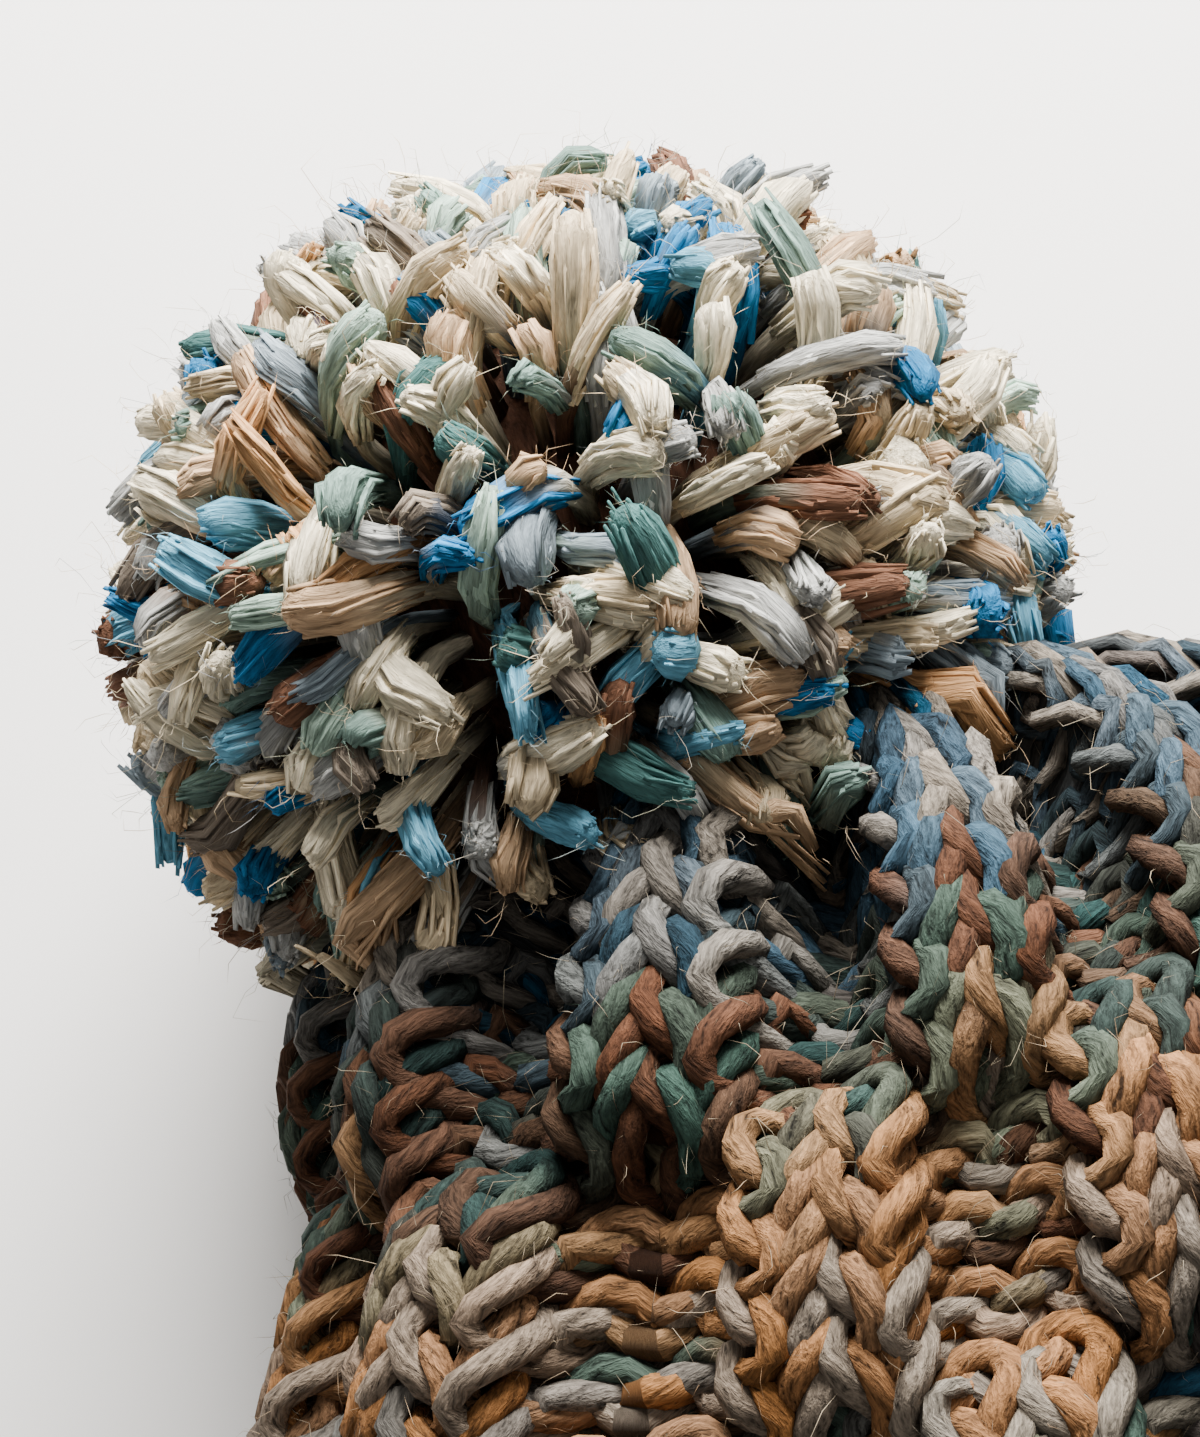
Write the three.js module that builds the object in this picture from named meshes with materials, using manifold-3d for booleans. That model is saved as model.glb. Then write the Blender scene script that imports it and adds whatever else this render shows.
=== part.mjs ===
// A chunky hand-knitted bobble hat, lying on its side as it rests on a table.
// Millimetres, +Z up. The hat's axis runs along Y: the opening faces -Y and the pompom is at +Y.
// Three pieces: the knitted body (one hollow wall), the pompom, and the tie that holds the pompom on.
import * as THREE from "three";
import { mergeVertices } from "three/addons/utils/BufferGeometryUtils.js";
import Module from "manifold-3d";

const wasm = await Module();
wasm.setup();

// Knitting: a basketweave of knit and purl blocks, then a plain rib to the edge.
const STITCHES = 48; // stitches in each round
const BLOCK_STITCHES = 2; // width of a knit or purl block
const BLOCK_ROWS = 4; // rounds in a block
const RIB_FROM_ROW = 20; // the rib starts here, counted from the gathered tip
const EDGE_ROW = 26; // cast-on edge
const UPPER_BLOCK_ROW = 6; // middle of the block of rounds next to the pompom
const KNIT_CENTRE = -1.57; // where the knit block on top of the crown sits, in stitches from the top
const WALL = 9.5; // thickness of the knitted fabric
const BLOCK_RELIEF = 3.4; // knit blocks stand out by this, and purl blocks sink by it
const GATHER_RELIEF = 2.2; // added to the relief where the crown is drawn together
const RELIEF_SHARPNESS = 2; // higher gives blocks with flatter tops and steeper sides
const INNER_RELIEF = 0.75; // share of the relief that shows on the inside
const TWIST = -2.1; // stitches that the wales drift round the crown
const TWIST_ROWS = { from: 2, to: 14 };
const PRESSED = { below: 8, above: 26 }; // heights between which the fabric turns from flattened to free
const WIDEST = 0.42; // a section is widest at this share of its height

// Sections of the fabric's middle surface, from the gathered tip to the edge.
// row: round number; along: distance from the tip; half: half width; under and top: heights;
// lag: how much nearer the tip the round lies at the sides than on top.
const SECTIONS = [
  { row: 0, along: 0, half: 2.3, under: 37.7, top: 42.3, lag: 0 },
  { row: 1, along: 1.7, half: 16.5, under: 27, top: 53, lag: 0.5 },
  { row: 2, along: 5.4, half: 32, under: 19, top: 60, lag: 2 },
  { row: 3, along: 11, half: 42.5, under: 14, top: 65, lag: 4 },
  { row: 4, along: 18, half: 48, under: 10, top: 69.5, lag: 6 },
  { row: 6, along: 31, half: 52, under: 5.8, top: 76, lag: 9 },
  { row: 8, along: 45, half: 54.5, under: 4.6, top: 79.5, lag: 11 },
  { row: 10, along: 59, half: 59.5, under: 4.5, top: 81, lag: 11.5 },
  { row: 12, along: 74, half: 69, under: 4.5, top: 80.5, lag: 11.5 },
  { row: 16, along: 107, half: 91, under: 4.5, top: 77, lag: 9 },
  { row: 20, along: 140, half: 101, under: 4.5, top: 71, lag: 4 },
  { row: 26, along: 191, half: 101, under: 4.5, top: 61, lag: 0 },
];

// The wales are pulled apart or together on top of the crown.
// stitch: counted from the middle of the top knit block; shift: stitches it is moved round.
const SPREAD = [
  { stitch: -10, shift: 0 },
  { stitch: -6, shift: -0.9 },
  { stitch: -4, shift: -1.4 },
  { stitch: -2, shift: -1.45 },
  { stitch: 0, shift: -0.31 },
  { stitch: 2, shift: 0.35 },
  { stitch: 4, shift: 0.61 },
  { stitch: 6, shift: 0.85 },
  { stitch: 9, shift: 0.5 },
  { stitch: 13, shift: 0 },
];

// Sections change from round at the tip to flat underneath and gently domed on top.
const SQUARENESS = { round: 2, under: 6, top: 2.35, from: 2, to: 10 };

// Folds pressed into the fabric. stitch: counted from the middle of the top knit block;
// row: the middle; wide and long: half extents in stitches and rounds; deep: depth.
const FOLDS = [
  { stitch: 2, row: 4.6, wide: 1.3, long: 4.2, deep: 6 }, // between the two ribs on top of the crown
  { stitch: 6, row: 4, wide: 1.2, long: 3.6, deep: 2.5 },
  { stitch: -6, row: 4, wide: 1.2, long: 3.4, deep: 3 },
  { stitch: 10, row: 4, wide: 1.4, long: 4, deep: 4 },
  { stitch: -1.5, row: 8, wide: 2.6, long: 1.1, deep: 2.4 }, // crease across the left of the crown
  { stitch: 6, row: 23, wide: 7, long: 8, deep: 8 }, // the free edge sags on top
  { stitch: -13.5, row: 19, wide: 2.6, long: 8, deep: 4.5 },
  { stitch: 16, row: 16, wide: 2.6, long: 9, deep: 5 },
];

// Facets: points round and rounds that carry a ring of points.
const OUTER_ROUND = 96;
const INNER_ROUND = 48;
const OUTER_ROWS = [
  0, 0.7, 1.4, 2.2, 3, 4, 5, 6, 7, 7.7, 8.3, 9, 10, 11, 11.7, 12.3, 13, 14, 15, 15.7, 16.3, 17.3, 18.7, 19.7,
  20.5, 22, 24, 26,
];
const INNER_ROWS = [0, 1.4, 3, 5, 7, 9, 11, 13, 15, 18, 21, 24, 26];
const SECTION_POINTS = 720;

// Pompom, tied at its middle and drawn against the gathered tip.
const POMPOM_CENTRE = new THREE.Vector3(-14, 23.5, 45);
const POMPOM_HALF = new THREE.Vector3(51, 48, 48);
const CORE_SHARE = 0.87; // the packed middle, as a share of the whole
const LOCKS = 72;
const LOCK_RADIUS = 8;
const LOCK_SIDES = 5;
const LOCK_LEAN = { least: 0.15, spread: 0.5 }; // how far a lock leans over, as a slope
const LOCK_REACH = { least: 0.93, spread: 0.12 }; // a lock's end, as a share of the pompom's half size
const SEAT_GAP = 0.6; // between the pompom and the ribs of the crown

// Tie: one strand of yarn through the drawn-in hole, knotted inside.
const TIE_RADIUS = 1.2;
const KNOT_RADIUS = 5;
const KNOT_LENGTH = 8;
const TIE_GAP = 0.4;
const KNOT_GAP = 2; // between the knot and the inside of the tip
const TIE_REACH = 20; // how far the tie goes into the pompom

const COLOURS = { knit: 0x8b7f6e, pompom: 0xb9b1a2, tie: 0x8a8175 };

// Small helpers.
const clamp01 = (x) => Math.min(1, Math.max(0, x));
const mix = (a, b, s) => a + (b - a) * s;
function smoothstep(low, high, x) {
  const s = clamp01((x - low) / (high - low));
  return s * s * (3 - 2 * s);
}
const steepened = (c) => Math.tanh(RELIEF_SHARPNESS * c) / Math.tanh(RELIEF_SHARPNESS);
const power = (value, exponent) => Math.sign(value) * Math.abs(value) ** exponent;
const fraction = (x) => x - Math.floor(x);

// One column of the sections table at any round, as a smooth curve through the rows.
function sectionValue(column, row) {
  const last = SECTIONS.length - 1;
  let i = SECTIONS.findIndex((s) => s.row > row) - 1;
  if (i < 0) i = row >= SECTIONS[last].row ? last - 1 : 0;
  const slope = (k) => {
    const a = SECTIONS[Math.max(0, k - 1)];
    const b = SECTIONS[Math.min(last, k + 1)];
    return (b[column] - a[column]) / (b.row - a.row);
  };
  const [a, b] = [SECTIONS[i], SECTIONS[i + 1]];
  const span = b.row - a.row;
  const s = (row - a.row) / span;
  const bend = s * (1 - s) * span;
  const straight = mix(a[column], b[column], s * s * (3 - 2 * s));
  return straight + bend * ((1 - s) * slope(i) - s * slope(i + 1));
}

// A closed section of the middle surface with its running length, starting at the top and going to +X.
const sectionCache = new Map();
function section(row) {
  if (sectionCache.has(row)) return sectionCache.get(row);
  const [half, under, top] = ["half", "under", "top"].map((c) => sectionValue(c, row));
  const widest = mix(under, top, WIDEST);
  const settled = smoothstep(SQUARENESS.from, SQUARENESS.to, row);
  const points = [];
  const lengths = [0];
  for (let i = 0; i <= SECTION_POINTS; i++) {
    const angle = (i / SECTION_POINTS) * 2 * Math.PI;
    const [across, up] = [Math.sin(angle), Math.cos(angle)];
    const square = mix(SQUARENESS.round, up < 0 ? SQUARENESS.under : SQUARENESS.top, settled);
    const rise = up < 0 ? widest - under : top - widest;
    points.push([half * power(across, 2 / square), widest + rise * power(up, 2 / square)]);
    if (i > 0) {
      const [p, q] = [points[i - 1], points[i]];
      lengths.push(lengths[i - 1] + Math.hypot(q[0] - p[0], q[1] - p[1]));
    }
  }
  const made = { points, lengths, half, along: sectionValue("along", row), lag: sectionValue("lag", row) };
  sectionCache.set(row, made);
  return made;
}

// Where a wale lies round the hat, in stitches from the top.
function placeRound(stitch, row) {
  const n = (fraction((stitch - SPREAD[0].stitch) / STITCHES) * STITCHES) + SPREAD[0].stitch;
  const i = SPREAD.findIndex((s) => s.stitch > n);
  let shift = 0;
  if (i > 0) {
    const [a, b] = [SPREAD[i - 1], SPREAD[i]];
    shift = mix(a.shift, b.shift, (n - a.stitch) / (b.stitch - a.stitch));
  }
  return KNIT_CENTRE + stitch + shift + TWIST * smoothstep(TWIST_ROWS.from, TWIST_ROWS.to, row);
}

// A point of the middle surface: stitch counts from the middle of the top knit block, row from the tip.
function middle(stitch, row) {
  const { points, lengths, half, along, lag } = section(Math.max(0, row));
  const total = lengths[SECTION_POINTS];
  const wanted = fraction(placeRound(stitch, row) / STITCHES) * total;
  let low = 0;
  let high = SECTION_POINTS;
  while (high - low > 1) {
    const between = (low + high) >> 1;
    if (lengths[between] <= wanted) low = between;
    else high = between;
  }
  const s = (wanted - lengths[low]) / (lengths[high] - lengths[low]);
  const [x, z] = [0, 1].map((k) => mix(points[low][k], points[high][k], s));
  return new THREE.Vector3(x, lag * (x / half) ** 2 - along, z);
}

// The outward normal of the middle surface.
function outward(stitch, row) {
  const step = 0.05;
  const round = middle(stitch + step, row).sub(middle(stitch - step, row));
  const down = middle(stitch, row + step).sub(middle(stitch, Math.max(0, row - step)));
  return down.cross(round).normalize();
}

// Height of the blocks, ribs and folds above the middle surface.
function relief(stitch, row) {
  const round = steepened(Math.cos((Math.PI * stitch) / BLOCK_STITCHES));
  const row2 = Math.min(Math.max(row, UPPER_BLOCK_ROW), RIB_FROM_ROW + BLOCK_STITCHES);
  const down = steepened(Math.cos((Math.PI * (row2 - UPPER_BLOCK_ROW)) / BLOCK_ROWS));
  const gathered = GATHER_RELIEF * (1 - smoothstep(UPPER_BLOCK_ROW - 2, UPPER_BLOCK_ROW + 2, row));
  let height = (BLOCK_RELIEF + gathered) * round * down;
  for (const fold of FOLDS) {
    const across = (fraction((stitch - fold.stitch) / STITCHES + 0.5) - 0.5) * STITCHES;
    const far = Math.hypot(across / fold.wide, (row - fold.row) / fold.long);
    height -= fold.deep * (1 - smoothstep(0, 1, far));
  }
  return height * smoothstep(0, 2.5, row);
}

// A point on the outer (side 1) or inner (side -1) face of the fabric, flattened where it meets the table.
function face(stitch, row, side) {
  const at = middle(stitch, row);
  const free = smoothstep(PRESSED.below, PRESSED.above, at.z);
  const raised = relief(stitch, row) * free * (side > 0 ? 1 : INNER_RELIEF);
  at.addScaledVector(outward(stitch, row), raised + (side * WALL) / 2);
  if (side > 0) at.z = Math.max(0, at.z);
  return at;
}

// A geometry from points and triangles.
function geometryOf(points, triangles) {
  const made = new THREE.BufferGeometry().setFromPoints(points);
  return made.setIndex(triangles);
}

// The knitted body: outer and inner faces joined round the edge and round the gathered hole.
function bodyGeometry() {
  const points = [];
  const triangles = [];
  const rings = (rows, count, side) =>
    rows.map((row) =>
      Array.from({ length: count }, (_, i) => {
        points.push(face((i * STITCHES) / count, row, side));
        return points.length - 1;
      }),
    );
  const quad = (a, b, c, d) => triangles.push(a, b, c, a, c, d);
  const skin = (made, side) => {
    for (let r = 0; r + 1 < made.length; r++) {
      const [near, next] = [made[r], made[r + 1]];
      near.forEach((_, i) => {
        const j = (i + 1) % near.length;
        if (side > 0) quad(near[i], next[i], next[j], near[j]);
        else quad(near[i], near[j], next[j], next[i]);
      });
    }
  };
  // A strip between an outer ring and an inner ring with half as many points.
  const strip = (outer, inner, turned) => {
    const add = (a, b, c) => (turned ? triangles.push(a, c, b) : triangles.push(a, b, c));
    inner.forEach((_, i) => {
      const [o0, o1, o2] = [2 * i, 2 * i + 1, (2 * i + 2) % outer.length].map((k) => outer[k]);
      const next = inner[(i + 1) % inner.length];
      add(o0, o1, inner[i]);
      add(o1, next, inner[i]);
      add(o1, o2, next);
    });
  };
  const outer = rings(OUTER_ROWS, OUTER_ROUND, 1);
  const inner = rings(INNER_ROWS, INNER_ROUND, -1);
  skin(outer, 1);
  skin(inner, -1);
  strip(outer[outer.length - 1], inner[inner.length - 1], true);
  strip(outer[0], inner[0], false);
  return geometryOf(points, triangles);
}

// A solid that fills the crown out to the tops of its ribs, for seating the pompom.
function crownEnvelope() {
  const reach = WALL / 2 + BLOCK_RELIEF + GATHER_RELIEF + SEAT_GAP;
  const rows = [0, 1, 2, 3, 4, 5, 6, 8, 10];
  const count = 48;
  const points = [];
  const triangles = [];
  rows.forEach((row) => {
    for (let i = 0; i < count; i++) {
      const stitch = (i * STITCHES) / count;
      const free = smoothstep(0, 2.5, row);
      const offset = mix(WALL / 2 + SEAT_GAP, reach, free);
      points.push(middle(stitch, row).addScaledVector(outward(stitch, row), offset));
    }
  });
  rows.slice(1).forEach((_, r) => {
    for (let i = 0; i < count; i++) {
      const j = (i + 1) % count;
      const [a, b] = [r * count, (r + 1) * count];
      triangles.push(a + i, b + i, b + j, a + i, b + j, a + j);
    }
  });
  const cap = (ring, turned) => {
    const centre = new THREE.Vector3();
    for (let i = 0; i < count; i++) centre.addScaledVector(points[ring * count + i], 1 / count);
    points.push(centre);
    for (let i = 0; i < count; i++) {
      const [p, q] = [ring * count + i, ring * count + ((i + 1) % count)];
      if (turned) triangles.push(points.length - 1, q, p);
      else triangles.push(points.length - 1, p, q);
    }
  };
  cap(0, false);
  cap(rows.length - 1, true);
  return geometryOf(points, triangles);
}

// Solids for joining and cutting.
function solidOf(geometry) {
  const bare = new THREE.BufferGeometry().setAttribute("position", geometry.getAttribute("position"));
  bare.setIndex(geometry.index);
  const merged = mergeVertices(bare, 1e-4);
  return new wasm.Manifold(
    new wasm.Mesh({
      numProp: 3,
      vertProperties: merged.attributes.position.array,
      triVerts: new Uint32Array(merged.index.array),
    }),
  );
}

function geometryFrom(solid) {
  const mesh = solid.getMesh();
  const positions = new Float32Array(mesh.numVert * 3);
  for (let i = 0; i < mesh.numVert; i++) {
    positions.set(mesh.vertProperties.subarray(i * mesh.numProp, i * mesh.numProp + 3), i * 3);
  }
  const made = new THREE.BufferGeometry();
  made.setAttribute("position", new THREE.BufferAttribute(positions, 3));
  return made.setIndex(new THREE.BufferAttribute(new Uint32Array(mesh.triVerts), 1));
}

const lathe = (profile, sides) =>
  new THREE.LatheGeometry(
    profile.map(([radius, height]) => new THREE.Vector2(radius, height)),
    sides,
  );

// One lock of cut yarn: a blunt spindle that leans over as it leaves the core.
function lockGeometry(number) {
  const golden = Math.PI * (3 - Math.sqrt(5));
  const height = 1 - (2 * number + 1) / LOCKS;
  const ring = Math.sqrt(1 - height * height);
  const way = new THREE.Vector3(ring * Math.cos(golden * number), height, ring * Math.sin(golden * number));
  const reach = LOCK_REACH.least + LOCK_REACH.spread * fraction(number * 0.618);
  const root = way.clone().multiply(POMPOM_HALF).multiplyScalar(0.5);
  const tip = way.clone().multiply(POMPOM_HALF).multiplyScalar(reach);
  const side = new THREE.Vector3(0, 0, 1).cross(way).normalize();
  const turn = golden * number * 3;
  const lean = side.multiplyScalar(Math.cos(turn)).addScaledVector(way.clone().cross(side), Math.sin(turn));
  const slope = LOCK_LEAN.least + LOCK_LEAN.spread * fraction(number * 0.755);
  const direction = tip.clone().sub(root).normalize().addScaledVector(lean, slope).normalize();
  const length = tip.distanceTo(root);
  const profile = [
    [0, 0],
    [LOCK_RADIUS * 0.8, 0],
    [LOCK_RADIUS, length * 0.72],
    [LOCK_RADIUS * 0.55, length * 0.97],
    [0, length],
  ];
  const made = lathe(profile, LOCK_SIDES);
  made.applyQuaternion(new THREE.Quaternion().setFromUnitVectors(new THREE.Vector3(0, 1, 0), direction));
  return made.translate(...root.addScaledVector(lean, -slope * length * 0.5).add(POMPOM_CENTRE));
}

// The pompom: core and locks fused, seated over the crown, bored for the tie and flat where it rests.
function pompomGeometry() {
  const core = new THREE.SphereGeometry(1, 20, 12);
  const size = POMPOM_HALF.clone().multiplyScalar(CORE_SHARE);
  core.scale(size.x, size.y, size.z).translate(...POMPOM_CENTRE);
  let made = solidOf(core);
  for (let i = 0; i < LOCKS; i++) made = made.add(solidOf(lockGeometry(i)));
  const below = POMPOM_HALF.z;
  const floor = new THREE.BoxGeometry(6 * below, 6 * below, below);
  floor.translate(POMPOM_CENTRE.x, POMPOM_CENTRE.y, -below / 2);
  const bore = lathe(
    [
      [0, -WALL],
      [TIE_RADIUS + TIE_GAP, -WALL],
      [TIE_RADIUS + TIE_GAP, TIE_REACH + TIE_GAP],
      [0, TIE_REACH + TIE_GAP],
    ],
    16,
  );
  bore.translate(0, 0, gatherHeight());
  made = made.subtract(solidOf(floor)).subtract(solidOf(crownEnvelope())).subtract(solidOf(bore));
  const largest = made.decompose().reduce((a, b) => (a.volume() > b.volume() ? a : b));
  return geometryFrom(largest);
}

// Height of the gathered tip's middle above the table.
function gatherHeight() {
  return (SECTIONS[0].under + SECTIONS[0].top) / 2;
}

// The tie: a knot against the inside of the tip and a stem into the pompom, as one turned shape.
function tieGeometry() {
  const shoulder = -WALL / 2 - KNOT_GAP;
  const made = lathe(
    [
      [0, shoulder - KNOT_LENGTH],
      [KNOT_RADIUS * 0.62, shoulder - KNOT_LENGTH],
      [KNOT_RADIUS, shoulder - KNOT_LENGTH * 0.62],
      [KNOT_RADIUS, shoulder - KNOT_LENGTH * 0.3],
      [KNOT_RADIUS * 0.72, shoulder],
      [TIE_RADIUS, shoulder],
      [TIE_RADIUS, TIE_REACH],
      [0, TIE_REACH],
    ],
    16,
  );
  return made.translate(0, 0, gatherHeight());
}

// The three pieces, each with its wool's average colour.
const wool = (colour) => new THREE.MeshStandardMaterial({ color: colour, roughness: 0.95, metalness: 0 });
function piece(name, geometry, colour) {
  const made = new THREE.Mesh(geometry, wool(colour));
  made.name = name;
  return made;
}

const hat = new THREE.Group();
hat.add(
  piece("knit_body", bodyGeometry(), COLOURS.knit),
  piece("pompom", pompomGeometry(), COLOURS.pompom),
  piece("pompom_tie", tieGeometry(), COLOURS.tie),
);

// The origin goes under the middle of the whole hat, on the table.
const box = new THREE.Box3().setFromObject(hat);
const centre = box.getCenter(new THREE.Vector3());
hat.position.set(-centre.x, -centre.y, -box.min.z);

export default hat;
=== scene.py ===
# A chunky hand-knitted bobble hat lying on a pale table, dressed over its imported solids.
# Lengths are millimetres until a mesh is made. The hat's axis runs along Y, with the pompom at +Y.
import math

import bpy
import numpy as np
from mathutils import Matrix, Vector


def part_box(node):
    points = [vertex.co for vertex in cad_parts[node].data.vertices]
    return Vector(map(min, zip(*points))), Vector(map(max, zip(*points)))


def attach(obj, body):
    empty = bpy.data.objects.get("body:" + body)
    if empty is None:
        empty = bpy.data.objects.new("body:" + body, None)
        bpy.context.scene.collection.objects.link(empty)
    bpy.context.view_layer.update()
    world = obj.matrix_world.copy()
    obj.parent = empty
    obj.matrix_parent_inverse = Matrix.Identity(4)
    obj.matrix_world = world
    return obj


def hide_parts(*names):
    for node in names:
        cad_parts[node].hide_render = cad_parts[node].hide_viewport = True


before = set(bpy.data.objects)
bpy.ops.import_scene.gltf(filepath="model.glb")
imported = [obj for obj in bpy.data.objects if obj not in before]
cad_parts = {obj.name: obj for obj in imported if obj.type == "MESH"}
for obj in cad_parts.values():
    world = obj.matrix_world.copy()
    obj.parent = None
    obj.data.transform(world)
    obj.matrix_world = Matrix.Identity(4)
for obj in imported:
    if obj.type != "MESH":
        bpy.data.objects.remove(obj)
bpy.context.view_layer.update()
MM = 0.001
TABLE_CLEARANCE = 0.1  # nothing goes lower than this

# Seeds of the random draws.
KNIT_SEED = 11
POMPOM_SEED = 7
FUZZ_SEED = 3

# Knitting: a basketweave of knit and purl blocks, then a plain rib to the edge.
STITCHES = 48
BLOCK_STITCHES = 2
BLOCK_ROWS = 4
RIB_FROM_ROW = 20
EDGE_ROW = 26
UPPER_BLOCK_ROW = 6
KNIT_CENTRE = -1.57
WALL = 9.5
BLOCK_RELIEF = 4.4  # knit blocks stand out by this, and purl blocks sink by it
GATHER_RELIEF = 2.2  # added where the crown is drawn together
RELIEF_SHARPNESS = 2
TWIST = -2.1  # stitches that the wales drift round the crown
TWIST_ROWS = (2, 14)
PRESSED = (8, 26)  # heights between which the fabric turns from flattened to free
WIDEST = 0.42  # a section is widest at this share of its height

# Sections of the fabric's middle surface: row, along, half, under, top, lag.
SECTIONS = np.array([
    (0, 0, 2.3, 37.7, 42.3, 0),
    (1, 1.7, 16.5, 27, 53, 0.5),
    (2, 5.4, 32, 19, 60, 2),
    (3, 11, 42.5, 14, 65, 4),
    (4, 18, 48, 10, 69.5, 6),
    (6, 31, 52, 5.8, 76, 9),
    (8, 45, 54.5, 4.6, 79.5, 11),
    (10, 59, 59.5, 4.5, 81, 11.5),
    (12, 74, 69, 4.5, 80.5, 11.5),
    (16, 107, 91, 4.5, 77, 9),
    (20, 140, 101, 4.5, 71, 4),
    (26, 191, 101, 4.5, 61, 0),
], float)
ROW, ALONG, HALF, UNDER, TOP, LAG = range(6)

# How the wales are pulled round on top of the crown: stitch, shift.
SPREAD = np.array([
    (-10, 0), (-6, -0.9), (-4, -1.4), (-2, -1.45), (0, -0.31), (2, 0.35), (4, 0.61), (6, 0.85), (9, 0.5),
    (13, 0), (38, 0),
], float)

# Squareness of the sections: round at the tip, then flat underneath and gently domed on top.
SQUARE_ROUND = 2
SQUARE_UNDER = 6
SQUARE_TOP = 2.35
SQUARE_ROWS = (2, 10)
SECTION_POINTS = 720

# Folds pressed into the fabric: stitch, row, wide, long, deep.
FOLDS = [
    (2, 4.6, 1.3, 4.2, 6),
    (6, 4, 1.2, 3.6, 2.5),
    (-6, 4, 1.2, 3.4, 3),
    (10, 4, 1.4, 4, 4),
    (-1.5, 8, 2.6, 1.1, 2.4),
    (6, 23, 7, 8, 8),
    (-13.5, 19, 2.6, 8, 4.5),
    (16, 16, 2.6, 9, 5),
]

# Yarn: two plies twisted together.
PLY_RADIUS = 1.75
PLY_OFFSET = 1.4
PLY_TURNS = 2  # turns to a stitch, which lays the plies side by side on every leg and head
PLY_SPIN = 0.3  # radians to a millimetre that the fibres turn round a ply
PLY_SWELL = 0.12  # share by which a ply is thicker here and thinner there
TWIST_WANDER = 0.5  # radians by which the twist runs early or late
LEG_DEPTH = 2.5  # legs stand in front of the middle surface by this
HEAD_DEPTH = 3.2  # and heads lie behind it by this
BUMP_DEPTH = 1.2  # and the heads of purls stand in front by this
LOOP_HEIGHT = 0.88  # half height of a loop, in rounds
PURL_FLATNESS = 0.2  # share by which the heads and feet of purls are lower
LOOP_BULGE = 0.3  # how far a loop's head is wider than its neck, in stitches
FULL_STITCH = 6.2  # stitches narrower than this have their yarn squeezed
LEAST_SQUEEZE = 0.45
BACKING = (-0.9, -2.3)  # front and back of the loops' hidden parts, from the middle surface
UNDERNEATH = 0.17  # share of a round, to either side of its lowest place, that the table hides

# Colour along a ply.
STRIPE_WANDER = 1.5  # rounds by which a stripe runs early or late
PLY_BLEND = 0.18  # mean share of the other ply's colour
SHADE_WANDER = 0.2

# Millimetres that the wisps are moved along from one yarn to the next, so that none look alike.
ROUND_PATTERN_STEP = 613
PLY_PATTERN_STEP = 311
TUBE_PATTERN_STEP = 37.7
TUBE_PATTERN_SPAN = 500

# Pompom, placed as in the solids.
POMPOM_CENTRE = np.array([-14, 23.5, 45.0])
POMPOM_HALF = np.array([51, 48, 48.0])
GATHER_HEIGHT = 40.0
TIE_REACH = 20.0
CORE_SHARE = 0.66  # of the pompom's half size
PARTING = (-0.2, 0.12, 1)  # where the locks fall apart: right, up and towards the camera

# Locks of cut yarn. Places along them are shares of the pompom's half size.
LOCKS = 1050
LOCK_RADIUS = 2.15
LOCK_SIZES = (0.7, 1.25)
LOCK_ROOT = 0.6
LOCK_BEND = 0.93
LOCK_REACH = (0.91, 1.03)
LOCK_FLOP = (0.05, 0.36)  # how far a lock leans over, as a slope
LOCK_WAVE = 0.9
LOCK_BLUNT = (0.72, 0.9)  # share of its length where a lock starts to close
CROWN_SIDE = -0.8  # no lock points further than this towards the crown
SEAT_GAP = 2.5  # between a lock's middle and the crown
TABLE_GAP = 2.2  # and the table
LOCK_STATIONS = (0, 0.3, 0.5, 0.68, 0.82, 0.92, 0.97, 1)
LOCK_POINTS = len(LOCK_STATIONS)
LOCK_SIDES = 6
LOCK_MIDDLE = 0.92  # a lock's inside, under its strands, as a share of its radius
# Painted shade: the lock's inside, under its strands, is coloured darker by this factor.
LOCK_MIDDLE_PAINTED_SHADE = 0.75

# Strands laid round each lock.
LOCK_STRANDS = 15
STRAND_RADIUS = 0.46
STRAND_SIZES = (0.7, 1.3)
STRAND_STATIONS = (0, 0.4, 0.75, 1)
STRAND_TAPER = (0.8, 1.1, 1.0, 0.55)
STRAND_DEPTH = (0.66, 0.92)  # how far out they lie, as a share of the lock's radius
STRAND_WANDER = 0.16
STRAND_SHADES = (0.86, 1.14)
OTHER_STRANDS = 0.3  # share of them that take on the lock's end colour
STRAND_FROM = 0.4  # share of a lock's length where its strands start to show
STRAND_OPEN = (0.9, 1.0)  # shares between which they stop closing in
STRAND_END = 0.98
STRAND_CUT = 0.022  # how unevenly they are cut

# Hairs. Real ones are about 0.03 mm thick, and these are thicker so that they show.
LOCK_HAIRS = 19
LOCK_HAIR_RADIUS = (0.03, 0.05)
LOW_LOCK_HAIRS = 6  # on locks that end below this height
LOW_LOCK = 14.0
KNIT_HAIRS = 18500
KNIT_HAIR_RADIUS = (0.022, 0.042)
# Painted highlight: the largest share of cream mixed into a hair's colour.
HAIR_PAINTED_HIGHLIGHT = 0.4
STRAY_HAIR_RADIUS = (0.025, 0.045)

# Tie: two plies through the drawn-in hole and a knot inside.
TIE_FROM = -9
TIE_PLY_RADIUS = 0.62
TIE_PLY_OFFSET = 0.55
TIE_LAY = 8  # length of one turn of the plies
KNOT_AT = -10.7
KNOT_YARN = 1.4
KNOT_RING = 2.4
KNOT_SWING = 1.0
KNOT_DEPTH = 2.2
KNOT_WEAVE = 1.5  # times that the knot goes in and out in one turn

# Pieces of the body: name, first row, last row, samples to a stitch, sides to a ply.
BODY_PIECES = [
    ("knit_tip", 1, 4, 12, 4),
    ("knit_crown", 4, 9, 20, 6),
    ("knit_middle", 9, 14, 20, 6),
    ("knit_lower", 14, 20, 14, 5),
    ("knit_rib", 20, EDGE_ROW, 14, 5),
]

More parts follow.
